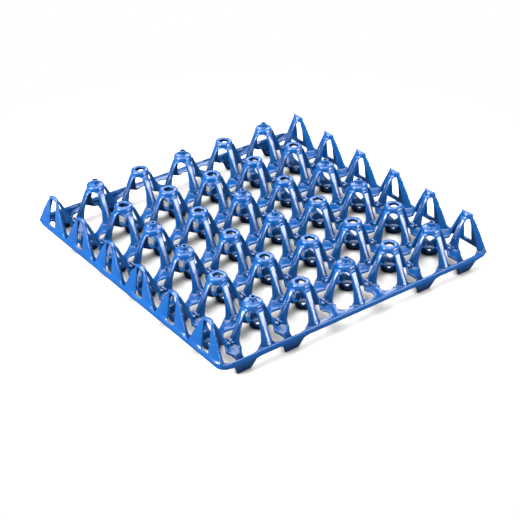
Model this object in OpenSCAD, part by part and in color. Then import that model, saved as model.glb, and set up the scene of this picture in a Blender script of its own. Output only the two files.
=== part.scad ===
// Open-work plastic tray for 30 eggs, moulded in one piece.
// Millimetres, +Z up. The origin is on the floor under the centre of the tray.

/* [Grid] */
// egg cells in a row along X
cells_x = 6; // [4:2:8]
// full rows of egg cells along Y
cells_y = 5; // [3:1:7]
// distance between neighbouring egg cells
pitch = 48; // [46:0.5:52]

/* [Posts] */
// height of the flat post tops above the floor
post_top = 46; // [44:0.5:50]
// distance from the post axis to where its faces would meet, at the top
corner_top = 10.2; // [9.6:0.1:10.6]
// how far those corners move out for each mm down
corner_lean = 0.455; // [0.44:0.005:0.47]
// distance from the post axis to the flat strip that blunts a corner, at the top
strip_top = 7.4; // [7:0.1:7.8]
// how far the strip moves out for each mm down
strip_lean = 0.5; // [0.48:0.005:0.51]
// radius of the round head under the top
head_radius = 8.2; // [7.6:0.1:8.8]
// radius of the hole in an open post top
hole_radius = 4.1; // [3:0.1:4.8]
// outside radius of the hollow peg on every other post
peg_radius = 2.9; // [2.4:0.1:3.4]
// bore radius of the peg
peg_bore = 1.7; // [1.2:0.1:2]
// height of the peg above the post top
peg_height = 4.4; // [3:0.2:6]

/* [Deck and cups] */
// thickness of the moulded sheet
wall = 1.6; // [1.4:0.1:2]
// height of the low points between posts
saddle_z = 15.2; // [14.6:0.1:16]
// outside radius of a cup where it stands on the floor
cup_radius = 7.75; // [7:0.1:8.6]
// how far the cup wall leans out for each mm up
cup_lean = 0.294; // [0.24:0.01:0.34]
// height where the cup wall turns out into the deck
cup_rim_z = 9.2; // [8:0.2:10]
// thickness of the cup bottom
cup_floor = 1.6; // [1.2:0.1:2]
// radius of the drain hole in the cup bottom
drain_radius = 3.6; // [2.5:0.1:4.5]

/* [Windows] */
// highest point of a window
window_top = 41.5; // [40:0.5:43]
// radius of the arch at the top of a window
window_arch = 5.5; // [4.5:0.1:6]
// half of the greatest width of a window
window_half = 8.6; // [7:0.1:9.5]
// height where a window is widest
window_mid = 17.4; // [16:0.2:20]
// lowest point of a window, where it notches the cup wall
window_tip = 5.6; // [4.5:0.1:7]

/* [Edge] */
// how far the rim stands out past the last post axes along X
rim_out_x = 0.9; // [0.6:0.1:1.6]
// how far the rim stands out past the last cup axes along Y
rim_out_y = 1.5; // [1:0.1:2.5]
// height of the rim band near the corners
rim_height = 4.8; // [3.5:0.1:6]
// top of the rim band above the floor
rim_top = 16.8; // [16:0.1:18]
// thickness of the rim band
rim_wall = 1.8; // [1.6:0.1:2.2]
// outside corner radius of the rim
rim_corner = 9; // [5:0.5:14]
// number of cells without a foot in the middle of each Y side
flat_cells = 2; // [2:2:2]
// radius of the round end of a window that runs out into the flat
flat_end_radius = 5.6; // [4:0.1:6.5]
// distance of that round end from the post axis, along X and along Y
flat_end_at = 13.4; // [12:0.1:14.5]
// how far the end walls lean in from the deck to the post tops
end_lean = 4; // [3:0.2:5]
// how far the foot plates lean in from the rim to the floor
foot_lean = 4; // [3:0.2:5]
// top of the slot in an end wall
slot_top = 43.4; // [40:0.2:44]
// half width of the slot in an end wall
slot_half = 4.75; // [3.5:0.05:5.5]

/* [Hidden] */
last_x = cells_x / 2 * pitch;
last_y = (cells_y + 1) / 2 * pitch;
half_x = last_x + rim_out_x;
half_y = last_y + rim_out_y;
rim_bottom = rim_top - rim_height;
tray_blue = [0.05, 0.33, 0.78];

// post positions
function post_x(c) = (c - cells_x / 2) * pitch;
function post_y(r) = (r - cells_y / 2) * pitch;
// cell positions: whole rows are 0 to cells_y - 1, half rows are -1 and cells_y
function cell_x(c) = (c - (cells_x - 1) / 2) * pitch;
function cell_y(r) = (r - (cells_y - 1) / 2) * pitch;
function is_flat(c) = abs(c - (cells_x - 1) / 2) < flat_cells / 2;
function has_peg(c, r) = c % 2 == 1 && min(r, cells_y - r) % 2 == 0;

// distance from the post axis to the corners and to their flat strips at height z
function corner_at(z) = corner_top + corner_lean * (post_top - z);
function strip_at(z) = strip_top + strip_lean * (post_top - z);

// sheet thickness measured level, across a face that leans by k for each mm
function level_wall(k) = wall * sqrt(1 + k * k);

// a ridge roof of half width top_half at z1, growing by lean to z0, long along Y
module roof(top_half, lean, z0, z1, long) {
    rotate([90, 0, 0])
        linear_extrude(long, center = true)
            polygon([
                [-top_half - lean * (z1 - z0), z0],
                [top_half + lean * (z1 - z0), z0],
                [top_half, z1],
                [-top_half, z1]
            ]);
}

// four-cornered post with blunted corners, or the hollow in it
module post_body(z0, z1, hollow) {
    face_lean = corner_lean / sqrt(2);
    face = corner_at(z1) / sqrt(2) - (hollow ? level_wall(face_lean) : 0);
    strip = strip_at(z1) - (hollow ? level_wall(strip_lean) : 0);
    intersection() {
        rotate([0, 0, 45]) roof(face, face_lean, z0, z1, 2 * pitch);
        rotate([0, 0, -45]) roof(face, face_lean, z0, z1, 2 * pitch);
        roof(strip, strip_lean, z0, z1, 2 * pitch);
        rotate([0, 0, 90]) roof(strip, strip_lean, z0, z1, 2 * pitch);
    }
}

// round head of a post, with its top edge eased by ease
module post_head(r, z0, z1, ease) {
    rotate_extrude()
        polygon(concat(
            [[0, z0], [r + 1.3, z0], [r, z1 - ease]],
            ease > 0 ? [[r - ease, z1]] : [],
            [[0, z1]]
        ));
}

module post_outside() {
    post_body(saddle_z - 2.2, post_top - 5, false);
    post_head(head_radius, post_top - 12, post_top, 0.9);
}

module post_inside() {
    post_body(saddle_z - 5, post_top - 6.5, true);
    post_head(head_radius - wall, post_top - 12, post_top - 2, 0);
}

// everything outside a leaning end wall, and inside it by inset
module beyond_end(inset) {
    x0 = last_x - inset;
    rotate([90, 0, 0])
        linear_extrude(2 * half_y + 20, center = true)
            polygon([
                [x0, saddle_z - 6],
                [x0, saddle_z],
                [x0 - end_lean, post_top],
                [x0 - end_lean, post_top + 1],
                [x0 + pitch, post_top + 1],
                [x0 + pitch, saddle_z - 6]
            ]);
}

// post bodies, with the end ones cut off at the end walls
module post_field(inner) {
    inset = inner ? wall : 0;
    for (c = [1 : cells_x - 1], r = [0 : cells_y])
        translate([post_x(c), post_y(r), 0]) post_solid(inner);
    for (side = [0, 1])
        mirror([side, 0, 0])
            difference() {
                for (r = [0 : cells_y])
                    translate([last_x, post_y(r), 0]) post_solid(inner);
                beyond_end(inset);
            }
}

module post_solid(inner) {
    if (inner) post_inside(); else post_outside();
}

// egg side of a cup and of the deck round it
module cup_inside() {
    r0 = cup_radius - wall;
    r1 = r0 + cup_lean * cup_rim_z;
    rotate_extrude()
        polygon([
            [0, cup_floor],
            [r0 + cup_lean * cup_floor, cup_floor],
            [r1, cup_rim_z],
            [r1 + 3.4, cup_rim_z + 2.7],
            [pitch / 2 - 0.6, saddle_z],
            [pitch / 2 - 0.4, saddle_z + 0.3],
            [0, saddle_z + 0.3]
        ]);
}

// under side of a cup and of the deck round it
module cup_outside() {
    r1 = cup_radius + cup_lean * cup_rim_z;
    rotate_extrude()
        polygon([
            [0, -2],
            [cup_radius - 2 * cup_lean, -2],
            [r1, cup_rim_z],
            [pitch / 2 - 0.3, saddle_z - wall],
            [pitch / 2 - 0.1, saddle_z - wall + 0.5],
            [0, saddle_z - wall + 0.5]
        ]);
}

// foot plates lean in along Y: everything outside them, and inside them by inset
module beyond_feet(inset) {
    y0 = last_y + 0.6 - inset;
    rotate([90, 0, 90])
        linear_extrude(2 * half_x + 20, center = true)
            polygon([
                [y0 - foot_lean - 1, -3],
                [y0 - foot_lean, -0.5],
                [y0, rim_bottom],
                [y0, saddle_z + 1],
                [y0 + pitch, saddle_z + 1],
                [y0 + pitch, -3]
            ]);
}

module rounded_plan(grow) {
    hx = half_x + grow;
    hy = half_y + grow;
    r = rim_corner + grow;
    square([2 * hx - 2 * r, 2 * hy], center = true);
    square([2 * hx, 2 * hy - 2 * r], center = true);
    for (sx = [-1, 1], sy = [-1, 1])
        translate([sx * (hx - r), sy * (hy - r)]) circle(r);
}

// the deck between the posts, with every cup sunk in it
module top_side() {
    difference() {
        linear_extrude(saddle_z) rounded_plan(0);
        for (c = [0 : cells_x - 1], r = [0 : cells_y - 1])
            translate([cell_x(c), cell_y(r), 0]) cup_inside();
        for (side = [0, 1])
            mirror([0, side, 0])
                difference() {
                    for (c = [0 : cells_x - 1])
                        if (!is_flat(c)) translate([cell_x(c), last_y, 0]) cup_inside();
                    beyond_feet(wall);
                }
    }
    post_field(false);
}

// the space under the deck and in the posts
module under_side() {
    difference() {
        union() {
            linear_extrude(rim_bottom) rounded_plan(4);
            linear_extrude(saddle_z - wall) rounded_plan(-rim_wall);
        }
        for (c = [0 : cells_x - 1], r = [0 : cells_y - 1])
            translate([cell_x(c), cell_y(r), 0]) cup_outside();
        for (side = [0, 1])
            mirror([0, side, 0])
                difference() {
                    for (c = [0 : cells_x - 1])
                        if (!is_flat(c)) translate([cell_x(c), last_y, 0]) cup_outside();
                    beyond_feet(0);
                }
    }
    post_field(true);
}

// half outline of a window, from the top of the arch down to the tip
arch_z = window_top - window_arch;
tip_turn = acos(window_half / (window_mid - window_tip));
half_outline = concat(
    [for (a = [0, 38, 80]) [window_arch * sin(a), arch_z + window_arch * cos(a)]],
    [[window_half - 0.7, (arch_z + window_mid) / 2 - 1]],
    [[window_half, window_mid]],
    [[window_half * sin(tip_turn) + 0.1, window_mid - window_half * cos(tip_turn)]],
    [[0, window_tip]]
);
outline = concat(
    half_outline,
    [for (i = [len(half_outline) - 2 : -1 : 1]) [-half_outline[i][0], half_outline[i][1]]]
);

// one straight cut for all the windows on the diagonal x - y = m * pitch
module window_line(m) {
    reach = (cells_y + 1) / 2;
    from_x = max(-cells_x / 2, m - reach);
    to_x = min(cells_x / 2, m + reach);
    stop = pitch / 2 - flat_end_at + 1;
    cut_low = is_flat(m - reach + cells_x / 2 - 0.5) && m > 0 ? stop : -2;
    cut_high = is_flat(m + reach + cells_x / 2 - 0.5) && m < 0 ? stop : -2;
    x0 = from_x * pitch + cut_low;
    x1 = to_x * pitch - cut_high;
    translate([x0, x0 - m * pitch, 0])
        rotate([0, 0, 45])
            rotate([90, 0, 90])
                linear_extrude((x1 - x0) * sqrt(2))
                    polygon(outline);
}

module window_lines() {
    far = (cells_x + cells_y) / 2;
    reach_x = last_x - end_lean - wall - 0.4;
    reach_y = last_y - foot_lean - wall;
    intersection() {
        for (m = [-far : far]) window_line(m);
        translate([-reach_x, -reach_y, 0]) cube([2 * reach_x, 2 * reach_y, post_top]);
    }
}

// raised lip round the whole tray
module rim_lip() {
    translate([0, 0, rim_bottom])
        linear_extrude(rim_top - rim_bottom)
            difference() {
                rounded_plan(0);
                rounded_plan(-rim_wall);
            }
}

module pegs() {
    for (c = [1 : cells_x - 1], r = [0 : cells_y])
        if (has_peg(c, r))
            translate([post_x(c), post_y(r), post_top - 1]) cylinder(r = peg_radius, h = peg_height + 1);
}

module openings() {
    for (c = [1 : cells_x - 1], r = [0 : cells_y])
        translate([post_x(c), post_y(r), post_top - 4])
            cylinder(r = has_peg(c, r) ? peg_bore : hole_radius, h = peg_height + 6);
    for (c = [0 : cells_x - 1], r = [0 : cells_y - 1])
        translate([cell_x(c), cell_y(r), -1]) cylinder(r = drain_radius, h = cup_floor + 2);
    for (side = [-1, 1], c = [0 : cells_x - 1], near = [-1, 1])
        if (is_flat(c))
            translate([
                cell_x(c) + near * (pitch / 2 - flat_end_at),
                side * (last_y - pitch / 2 + flat_end_at),
                saddle_z - wall - 1
            ])
                cylinder(r = flat_end_radius, h = wall + 2);
    slot_z = rim_top + 0.4;
    for (side = [-1, 1], r = [0 : cells_y])
        translate([side * last_x, post_y(r), (slot_z + slot_top) / 2])
            cube([2 * end_lean + 2 * wall + 1, 2 * slot_half, slot_top - slot_z], center = true);
}

module egg_tray() {
    color(tray_blue)
        difference() {
            union() {
                difference() {
                    difference() {
                        difference() {
                            top_side();
                            under_side();
                        }
                        window_lines();
                    }
                    mirror([0, 1, 0]) window_lines();
                }
                rim_lip();
                pegs();
            }
            openings();
        }
}

egg_tray();
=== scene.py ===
import math

import bpy
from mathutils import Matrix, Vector


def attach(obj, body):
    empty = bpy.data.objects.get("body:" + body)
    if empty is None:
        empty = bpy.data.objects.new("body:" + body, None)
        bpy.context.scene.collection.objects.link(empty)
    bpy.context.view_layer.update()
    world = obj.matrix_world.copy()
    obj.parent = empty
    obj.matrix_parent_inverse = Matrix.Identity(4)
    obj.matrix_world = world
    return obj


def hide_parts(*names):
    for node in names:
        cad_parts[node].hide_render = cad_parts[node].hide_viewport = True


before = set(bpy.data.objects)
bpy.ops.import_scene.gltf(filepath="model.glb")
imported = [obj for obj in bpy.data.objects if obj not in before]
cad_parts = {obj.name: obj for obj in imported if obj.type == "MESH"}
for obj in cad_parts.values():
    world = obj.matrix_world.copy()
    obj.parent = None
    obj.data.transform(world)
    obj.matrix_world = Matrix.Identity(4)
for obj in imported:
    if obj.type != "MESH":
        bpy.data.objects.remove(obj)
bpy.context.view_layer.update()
mm = 0.001
print("frame loaded")


# colours and nodes
def hexColor(text):
    parts = [int(text[i:i + 2], 16) / 255 for i in (1, 3, 5)]
    linear = [p / 12.92 if p <= 0.04045 else ((p + 0.055) / 1.055) ** 2.4 for p in parts]
    return (*linear, 1.0)


def addNode(tree, kind, settings=None, inputs=None):
    node = tree.nodes.new(kind)
    for name, value in (settings or {}).items():
        setattr(node, name, value)
    for name, value in (inputs or {}).items():
        if isinstance(value, bpy.types.NodeSocket):
            tree.links.new(value, node.inputs[name])
        else:
            node.inputs[name].default_value = value
    return node


def newMaterial(name):
    material = bpy.data.materials.new(name)
    material.use_nodes = True
    material.node_tree.nodes.clear()
    return material, material.node_tree


def maths(tree, operation, *values):
    return addNode(tree, "ShaderNodeMath", {"operation": operation}, dict(enumerate(values))).outputs[0]


def joined(tree, x, y, z):
    return addNode(tree, "ShaderNodeCombineXYZ", {}, {"X": x, "Y": y, "Z": z}).outputs[0]


def stepped(tree, value, span, toMin=0.0, toMax=1.0):
    node = addNode(tree, "ShaderNodeMapRange", {"interpolation_type": "SMOOTHSTEP"}, {
        "Value": value, "From Min": span[0], "From Max": span[1], "To Min": toMin, "To Max": toMax})
    return node.outputs["Result"]


# low and high are hex texts or colour sockets; the node's colours are inputs 6 and 7 and output 2
def mixColors(tree, factor, low, high):
    node = addNode(tree, "ShaderNodeMix", {"data_type": "RGBA"}, {"Factor": factor})
    for slot, value in ((6, low), (7, high)):
        if isinstance(value, str):
            node.inputs[slot].default_value = hexColor(value)
        else:
            tree.links.new(value, node.inputs[slot])
    return node.outputs[2]


# glossy injection-moulded polypropylene: deep saturated blue under clear, slightly wavy highlights,
# with painted shade darkening it in the hollows, and a shallow draw groove down the middle of every leg
trayLook = {
    "blue": "#00569E", "deepBlue": "#004286", "paintedShadeBlue": "#001430", "bounced": "#0C1014",
    "roughness": 0.15, "ior": 1.62, "mottleSize": 30 * mm, "mottleDetail": 3.0,
    "waveSize": 9 * mm, "waveDetail": 1.0, "waveHeight": 0.01 * mm,
    "glow": 0.1, "glowDepth": 1.5 * mm, "glowSpread": (0.15, 0.5, 1.0),
    "pitch": 48 * mm, "grooveInner": 0.7 * mm, "grooveOuter": 1.5 * mm, "grooveDepth": 0.35 * mm,
    "paintedShadeReach": 16 * mm, "paintedShadeSpan": (0.15, 0.9), "paintedShadeSamples": 6,
    "grooveLow": (17 * mm, 19 * mm), "grooveHigh": (26 * mm, 37 * mm),
}


# -1 in a leg's groove and 0 away from it; posts stand at whole pitches along X, half ones along Y
def legGroove(tree, place, look):
    axes = addNode(tree, "ShaderNodeSeparateXYZ", {}, {0: place}).outputs
    half = look["pitch"] / 2
    acrossX = maths(tree, "ABSOLUTE", maths(tree, "WRAP", axes["X"], half, -half))
    acrossY = maths(tree, "ABSOLUTE", maths(tree, "WRAP", maths(tree, "ADD", axes["Y"], half), half, -half))
    aside = maths(tree, "MINIMUM", acrossX, acrossY)
    groove = stepped(tree, aside, (look["grooveInner"], look["grooveOuter"]), -1.0, 0.0)
    above = stepped(tree, axes["Z"], look["grooveLow"])
    below = stepped(tree, axes["Z"], look["grooveHigh"], 1.0, 0.0)
    return maths(tree, "MULTIPLY", groove, maths(tree, "MULTIPLY", above, below))


def moldedPolypropylene(look):
    material, tree = newMaterial("moldedPolypropylene")
    place = addNode(tree, "ShaderNodeTexCoord").outputs["Object"]
    mottle = addNode(tree, "ShaderNodeTexNoise", {}, {
        "Vector": place, "Scale": 1 / look["mottleSize"], "Detail": look["mottleDetail"]})
    tint = mixColors(tree, mottle.outputs["Fac"], look["deepBlue"], look["blue"])
    wave = addNode(tree, "ShaderNodeTexNoise", {}, {
        "Vector": place, "Scale": 1 / look["waveSize"], "Detail": look["waveDetail"]})
    bump = addNode(tree, "ShaderNodeBump", {}, {
        "Distance": look["waveHeight"], "Height": wave.outputs["Fac"]})
    groove = addNode(tree, "ShaderNodeBump", {}, {
        "Distance": look["grooveDepth"], "Height": legGroove(tree, place, look),
        "Normal": bump.outputs["Normal"]})
    # painted shade: an occlusion node darkens the blue to near black in hollows and between parts
    exposed = addNode(tree, "ShaderNodeAmbientOcclusion", {"samples": look["paintedShadeSamples"]}, {
        "Distance": look["paintedShadeReach"]})
    openness = stepped(tree, exposed.outputs["AO"], look["paintedShadeSpan"])
    shaded = mixColors(tree, openness, look["paintedShadeBlue"], tint)
    # what it throws on the paper and on itself is nearly neutral, so the shadows stay grey
    bounce = addNode(tree, "ShaderNodeLightPath").outputs["Is Diffuse Ray"]
    shader = addNode(tree, "ShaderNodeBsdfPrincipled", {}, {
        "Base Color": mixColors(tree, bounce, shaded, look["bounced"]),
        "Roughness": look["roughness"], "IOR": look["ior"], "Normal": groove.outputs["Normal"],
        "Subsurface Weight": look["glow"], "Subsurface Scale": look["glowDepth"],
        "Subsurface Radius": look["glowSpread"]})
    addNode(tree, "ShaderNodeOutputMaterial", {}, {"Surface": shader.outputs["BSDF"]})
    return material


trayPlastic = moldedPolypropylene(trayLook)
print("plastic made")

# the moulding: the CAD mesh with every edge and inside corner rounded as the mould leaves them
traySkin = {"weld": 0.002 * mm, "grain": 0.5 * mm, "easing": 0.5, "rounds": 6, "mostTriangles": 198000}


def countTriangles(mesh):
    return sum(len(face.vertices) - 2 for face in mesh.polygons)


def trayPiece(source, look):
    mesh = source.data.copy()
    mesh.transform(source.matrix_world)
    piece = bpy.data.objects.new("trayRaw", mesh)
    bpy.context.scene.collection.objects.link(piece)
    weld = piece.modifiers.new("weld", "WELD")
    weld.merge_threshold = look["weld"]
    skin = piece.modifiers.new("skin", "REMESH")
    skin.mode, skin.voxel_size, skin.use_smooth_shade = "VOXEL", look["grain"], True
    ease = piece.modifiers.new("ease", "SMOOTH")
    ease.factor, ease.iterations = look["easing"], look["rounds"]
    graph = bpy.context.evaluated_depsgraph_get()
    count = countTriangles(piece.evaluated_get(graph).data)
    print("tray skin:", count, "triangles")
    if count > look["mostTriangles"]:
        thin = piece.modifiers.new("thin", "DECIMATE")
        thin.ratio = look["mostTriangles"] / count
        graph = bpy.context.evaluated_depsgraph_get()
    final = bpy.data.meshes.new_from_object(piece.evaluated_get(graph))
    final.name = "tray"
    tray = bpy.data.objects.new("tray", final)
    bpy.context.scene.collection.objects.link(tray)
    bpy.data.objects.remove(piece)
    final.materials.clear()
    final.materials.append(trayPlastic)
    final.shade_smooth()
    return tray


tray = trayPiece(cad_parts["egg_tray"], traySkin)
print("tray:", len(tray.data.polygons), "faces")


# what repeats over the tray: one unit set on grids of points, with its sizes as named inputs
def spreadPiece(name, look, makeUnit, grids, height):
    tree = bpy.data.node_groups.new(name, "GeometryNodeTree")
    tree.interface.new_socket("Geometry", in_out="INPUT", socket_type="NodeSocketGeometry")
    for label, value in look.items():
        kind = "NodeSocketInt" if isinstance(value, int) else "NodeSocketFloat"
        tree.interface.new_socket(label, in_out="INPUT", socket_type=kind)
    tree.interface.new_socket("Geometry", in_out="OUTPUT", socket_type="NodeSocketGeometry")
    given = addNode(tree, "NodeGroupInput").outputs
    unit = makeUnit(tree, given)
    spread = addNode(tree, "GeometryNodeJoinGeometry")
    for grid in grids:
        points = addNode(tree, "GeometryNodeMeshGrid", {}, {
            "Size X": maths(tree, "MULTIPLY", given["Pitch"], float(grid["spanX"])),
            "Size Y": maths(tree, "MULTIPLY", given["Pitch"], float(grid["spanY"])),
            "Vertices X": grid["countX"], "Vertices Y": grid["countY"]})
        placed = addNode(tree, "GeometryNodeInstanceOnPoints", {}, {
            "Points": points.outputs["Mesh"], "Instance": unit,
            "Rotation": (0.0, 0.0, math.radians(grid["turn"]))})
        tree.links.new(placed.outputs[0], spread.inputs[0])
    lifted = addNode(tree, "GeometryNodeTransform", {}, {
        "Geometry": spread.outputs[0], "Translation": joined(tree, 0.0, 0.0, given[height])})
    real = addNode(tree, "GeometryNodeRealizeInstances", {}, {"Geometry": lifted.outputs[0]})
    soft = addNode(tree, "GeometryNodeSetShadeSmooth", {}, {"Geometry": real.outputs[0]})
    dressed = addNode(tree, "GeometryNodeSetMaterial", {}, {
        "Geometry": soft.outputs[0], "Material": trayPlastic})
    addNode(tree, "NodeGroupOutput", {}, {0: dressed.outputs[0]})
    holder = bpy.data.objects.new(name + "Holder", bpy.data.meshes.new(name + "Holder"))
    bpy.context.scene.collection.objects.link(holder)
    modifier = holder.modifiers.new(name, "NODES")
    modifier.node_group = tree
    for item in tree.interface.items_tree:
        if item.in_out == "INPUT" and item.name in look:
            modifier[item.identifier] = look[item.name]
    graph = bpy.context.evaluated_depsgraph_get()
    mesh = bpy.data.meshes.new_from_object(holder.evaluated_get(graph))
    mesh.name = name
    bpy.data.objects.remove(holder)
    piece = bpy.data.objects.new(name, mesh)
    bpy.context.scene.collection.objects.link(piece)
    print(name + ":", len(mesh.polygons), "faces")
    return piece


# little rounded blocks on the saddles between the posts, three to a saddle
saddleLook = {
    "Pitch": 48 * mm, "Base Height": 15.6 * mm, "Long Length": 7.2 * mm, "Block Length": 3.4 * mm,
    "Width": 3.0 * mm, "Height": 3.6 * mm, "Gap": 0.8 * mm, "Thin Share": 0.5, "Low Share": 0.86,
    "Near Share": 0.75, "Rounding": 3, "Crease": 0.55,
}
saddleGrids = [
    {"spanX": 5, "spanY": 5, "countX": 6, "countY": 6, "turn": 90},
    {"spanX": 4, "spanY": 4, "countX": 5, "countY": 5, "turn": 0},
]


def saddleUnit(tree, given):
    def block(length, width, height, x, y):
        cube = addNode(tree, "GeometryNodeMeshCube", {}, {"Size": joined(tree, length, width, height)})
        rounded = addNode(tree, "GeometryNodeSubdivisionSurface", {}, {
            "Mesh": cube.outputs["Mesh"], "Level": given["Rounding"], "Edge Crease": given["Crease"]})
        moved = addNode(tree, "GeometryNodeTransform", {}, {
            "Geometry": rounded.outputs[0], "Translation": joined(tree, x, y, 0.0)})
        return moved.outputs[0]

    away = maths(tree, "MULTIPLY", maths(tree, "ADD", given["Width"], given["Gap"]), 0.5)
    back = maths(tree, "MULTIPLY", away, -1.0)
    aside = maths(tree, "MULTIPLY", maths(tree, "SUBTRACT", given["Long Length"], given["Block Length"]), 0.5)
    left = maths(tree, "MULTIPLY", aside, -1.0)
    thin = maths(tree, "MULTIPLY", given["Width"], given["Thin Share"])
    low = maths(tree, "MULTIPLY", given["Height"], given["Low Share"])
    near = maths(tree, "MULTIPLY", away, given["Near Share"])
    blocks = addNode(tree, "GeometryNodeJoinGeometry")
    for part in (
        block(given["Long Length"], given["Width"], given["Height"], 0.0, back),
        block(given["Block Length"], given["Width"], given["Height"], left, away),
        block(given["Block Length"], thin, low, aside, near),
    ):
        tree.links.new(part, blocks.inputs[0])
    return blocks.outputs[0]


saddleBlocks = spreadPiece("saddleBlocks", saddleLook, saddleUnit, saddleGrids, "Base Height")

# hollow locating pegs with eased edges, on every second post
pegLook = {
    "Pitch": 48 * mm, "Middle Height": 47.87 * mm, "Ring Radius": 2.3 * mm, "Wall": 1.2 * mm,
    "Length": 5.0 * mm, "Ease": 0.3 * mm, "Ring Steps": 40, "Corner Steps": 4,
}
pegGrids = [
    {"spanX": 4, "spanY": 5, "countX": 3, "countY": 2, "turn": 0},
    {"spanX": 4, "spanY": 1, "countX": 3, "countY": 2, "turn": 0},
]


def pegUnit(tree, given):
    ring = addNode(tree, "GeometryNodeCurvePrimitiveCircle", {}, {
        "Resolution": given["Ring Steps"], "Radius": given["Ring Radius"]})
    section = addNode(tree, "GeometryNodeCurvePrimitiveQuadrilateral", {}, {
        "Width": given["Wall"], "Height": given["Length"]})
    corners = addNode(tree, "GeometryNodeFilletCurve", {"mode": "POLY"}, {
        "Curve": section.outputs[0], "Count": given["Corner Steps"], "Radius": given["Ease"]})
    tube = addNode(tree, "GeometryNodeCurveToMesh", {}, {
        "Curve": ring.outputs[0], "Profile Curve": corners.outputs[0]})
    return tube.outputs[0]


pegs = spreadPiece("pegs", pegLook, pegUnit, pegGrids, "Middle Height")

for piece in (tray, saddleBlocks, pegs):
    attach(piece, "root")
    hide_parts("egg_tray")

# matt white paper: soft grey shade under the tray, fading to pure white round it
stageLook = {
    "floorSize": 6.0, "paper": "#F6F6F6", "bounced": "#606060",
    "shade": 0.06, "shadeReach": 40 * mm, "shadeSpan": (0.1, 0.5), "shadeSamples": 12,
    "fadeSpan": (0.20, 0.40),
}


def whitePaper(look):
    material, tree = newMaterial("whitePaper")
    place = addNode(tree, "ShaderNodeTexCoord").outputs["Object"]
    reach = addNode(tree, "ShaderNodeVectorMath", {"operation": "LENGTH"}, {0: place})
    fade = stepped(tree, reach.outputs["Value"], look["fadeSpan"])
    # full white to the camera and in reflections only, so that it doesn't light the tray
    path = addNode(tree, "ShaderNodeLightPath").outputs
    seen = maths(tree, "MAXIMUM", path["Is Camera Ray"], path["Is Glossy Ray"])
    share = maths(tree, "MULTIPLY", fade, seen)
    tone = mixColors(tree, path["Is Camera Ray"], look["bounced"], look["paper"])
    exposed = addNode(tree, "ShaderNodeAmbientOcclusion", {"samples": look["shadeSamples"]}, {
        "Distance": look["shadeReach"]})
    dark, bright = look["shadeSpan"]
    depth = addNode(tree, "ShaderNodeMapRange", {}, {
        "Value": exposed.outputs["AO"], "From Min": dark, "From Max": bright,
        "To Min": look["shade"], "To Max": 1.0})
    shaded = addNode(tree, "ShaderNodeVectorMath", {"operation": "SCALE"}, {
        0: tone, "Scale": depth.outputs[0]})
    paper = addNode(tree, "ShaderNodeBsdfDiffuse", {}, {"Color": shaded.outputs[0]})
    glow = addNode(tree, "ShaderNodeEmission", {}, {"Color": (1, 1, 1, 1), "Strength": 1.0})
    mixed = addNode(tree, "ShaderNodeMixShader", {}, {
        0: share, 1: paper.outputs[0], 2: glow.outputs[0]})
    # clear from below, so that the underside shows
    under = addNode(tree, "ShaderNodeNewGeometry").outputs["Backfacing"]
    clear = addNode(tree, "ShaderNodeBsdfTransparent")
    oneSided = addNode(tree, "ShaderNodeMixShader", {}, {
        0: under, 1: mixed.outputs[0], 2: clear.outputs[0]})
    addNode(tree, "ShaderNodeOutputMaterial", {}, {"Surface": oneSided.outputs[0]})
    return material


def studioFloor(look):
    bpy.ops.mesh.primitive_plane_add(size=look["floorSize"], location=(0, 0, 0))
    floor = bpy.context.object
    floor.name = "floor"
    floor.data.materials.append(whitePaper(look))


studioFloor(stageLook)

# softboxes round the tray, all turned to its middle
lampAim = (0, 0, 0.02)
lamps = {
    "topSoftbox": {"place": (-0.1, 0.1, 1.1), "size": (1.5, 1.5), "power": 30},
    "backSoftbox": {"place": (0.62, 0.82, 0.72), "size": (0.8, 0.4), "power": 5},
    "rightSoftbox": {"place": (0.62, -1.0, 0.32), "size": (0.9, 0.5), "power": 18},
    "leftSoftbox": {"place": (-1.05, 0.2, 0.35), "size": (0.7, 0.5), "power": 25},
}


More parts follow.
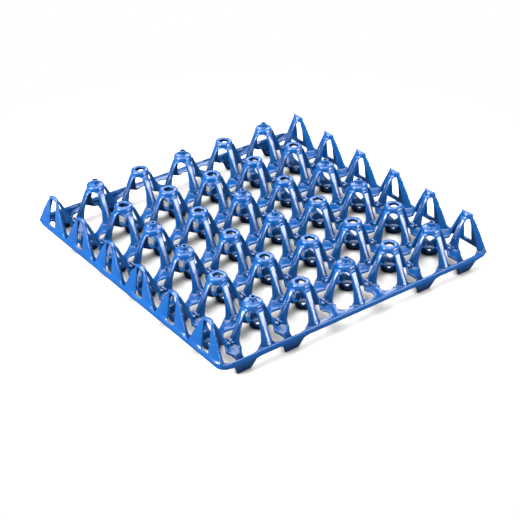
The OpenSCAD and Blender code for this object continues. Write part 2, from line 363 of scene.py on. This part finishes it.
def softbox(name, lamp):
    data = bpy.data.lights.new(name, "AREA")
    data.shape = "RECTANGLE"
    data.size, data.size_y = lamp["size"]
    data.energy = lamp["power"]
    item = bpy.data.objects.new(name, data)
    item.location = lamp["place"]
    item.rotation_mode = "QUATERNION"
    item.rotation_quaternion = (Vector(lampAim) - Vector(lamp["place"])).to_track_quat("-Z", "Y")
    bpy.context.scene.collection.objects.link(item)


for lampName, lampLook in lamps.items():
    softbox(lampName, lampLook)

# white to the camera, dimmer as fill and in reflections
roomLook = {"fill": 0.03, "mirrored": 0.24}


def studioRoom(look):
    world = bpy.data.worlds.new("studio")
    bpy.context.scene.world = world
    world.use_nodes = True
    tree = world.node_tree
    tree.nodes.clear()
    path = addNode(tree, "ShaderNodeLightPath").outputs
    glossy = addNode(tree, "ShaderNodeMapRange", {}, {
        "Value": path["Is Glossy Ray"], "To Min": look["fill"], "To Max": look["mirrored"]})
    strength = maths(tree, "MAXIMUM", glossy.outputs[0], path["Is Camera Ray"])
    sky = addNode(tree, "ShaderNodeBackground", {}, {"Color": (1, 1, 1, 1), "Strength": strength})
    addNode(tree, "ShaderNodeOutputWorld", {}, {"Surface": sky.outputs[0]})


studioRoom(roomLook)

# the photograph's own view, from its perspective
cameraView = {
    "lens": 93.94, "sensor": 36, "clip": (0.05, 20),
    "place": (-0.62834, -0.83650, 0.64205), "azimuth": 53.027, "lookDown": 32.013,
}


def photoCamera(view):
    data = bpy.data.cameras.new("camera")
    data.lens = view["lens"]
    data.sensor_width = view["sensor"]
    data.clip_start, data.clip_end = view["clip"]
    camera = bpy.data.objects.new("camera", data)
    a, e = math.radians(view["azimuth"]), math.radians(view["lookDown"])
    ahead = Vector((math.cos(a) * math.cos(e), math.sin(a) * math.cos(e), -math.sin(e)))
    camera.location = view["place"]
    camera.rotation_mode = "QUATERNION"
    camera.rotation_quaternion = ahead.to_track_quat("-Z", "Y")
    bpy.context.scene.collection.objects.link(camera)
    bpy.context.scene.camera = camera


photoCamera(cameraView)
bpy.context.scene.view_settings.view_transform = "Standard"
print("stage set")
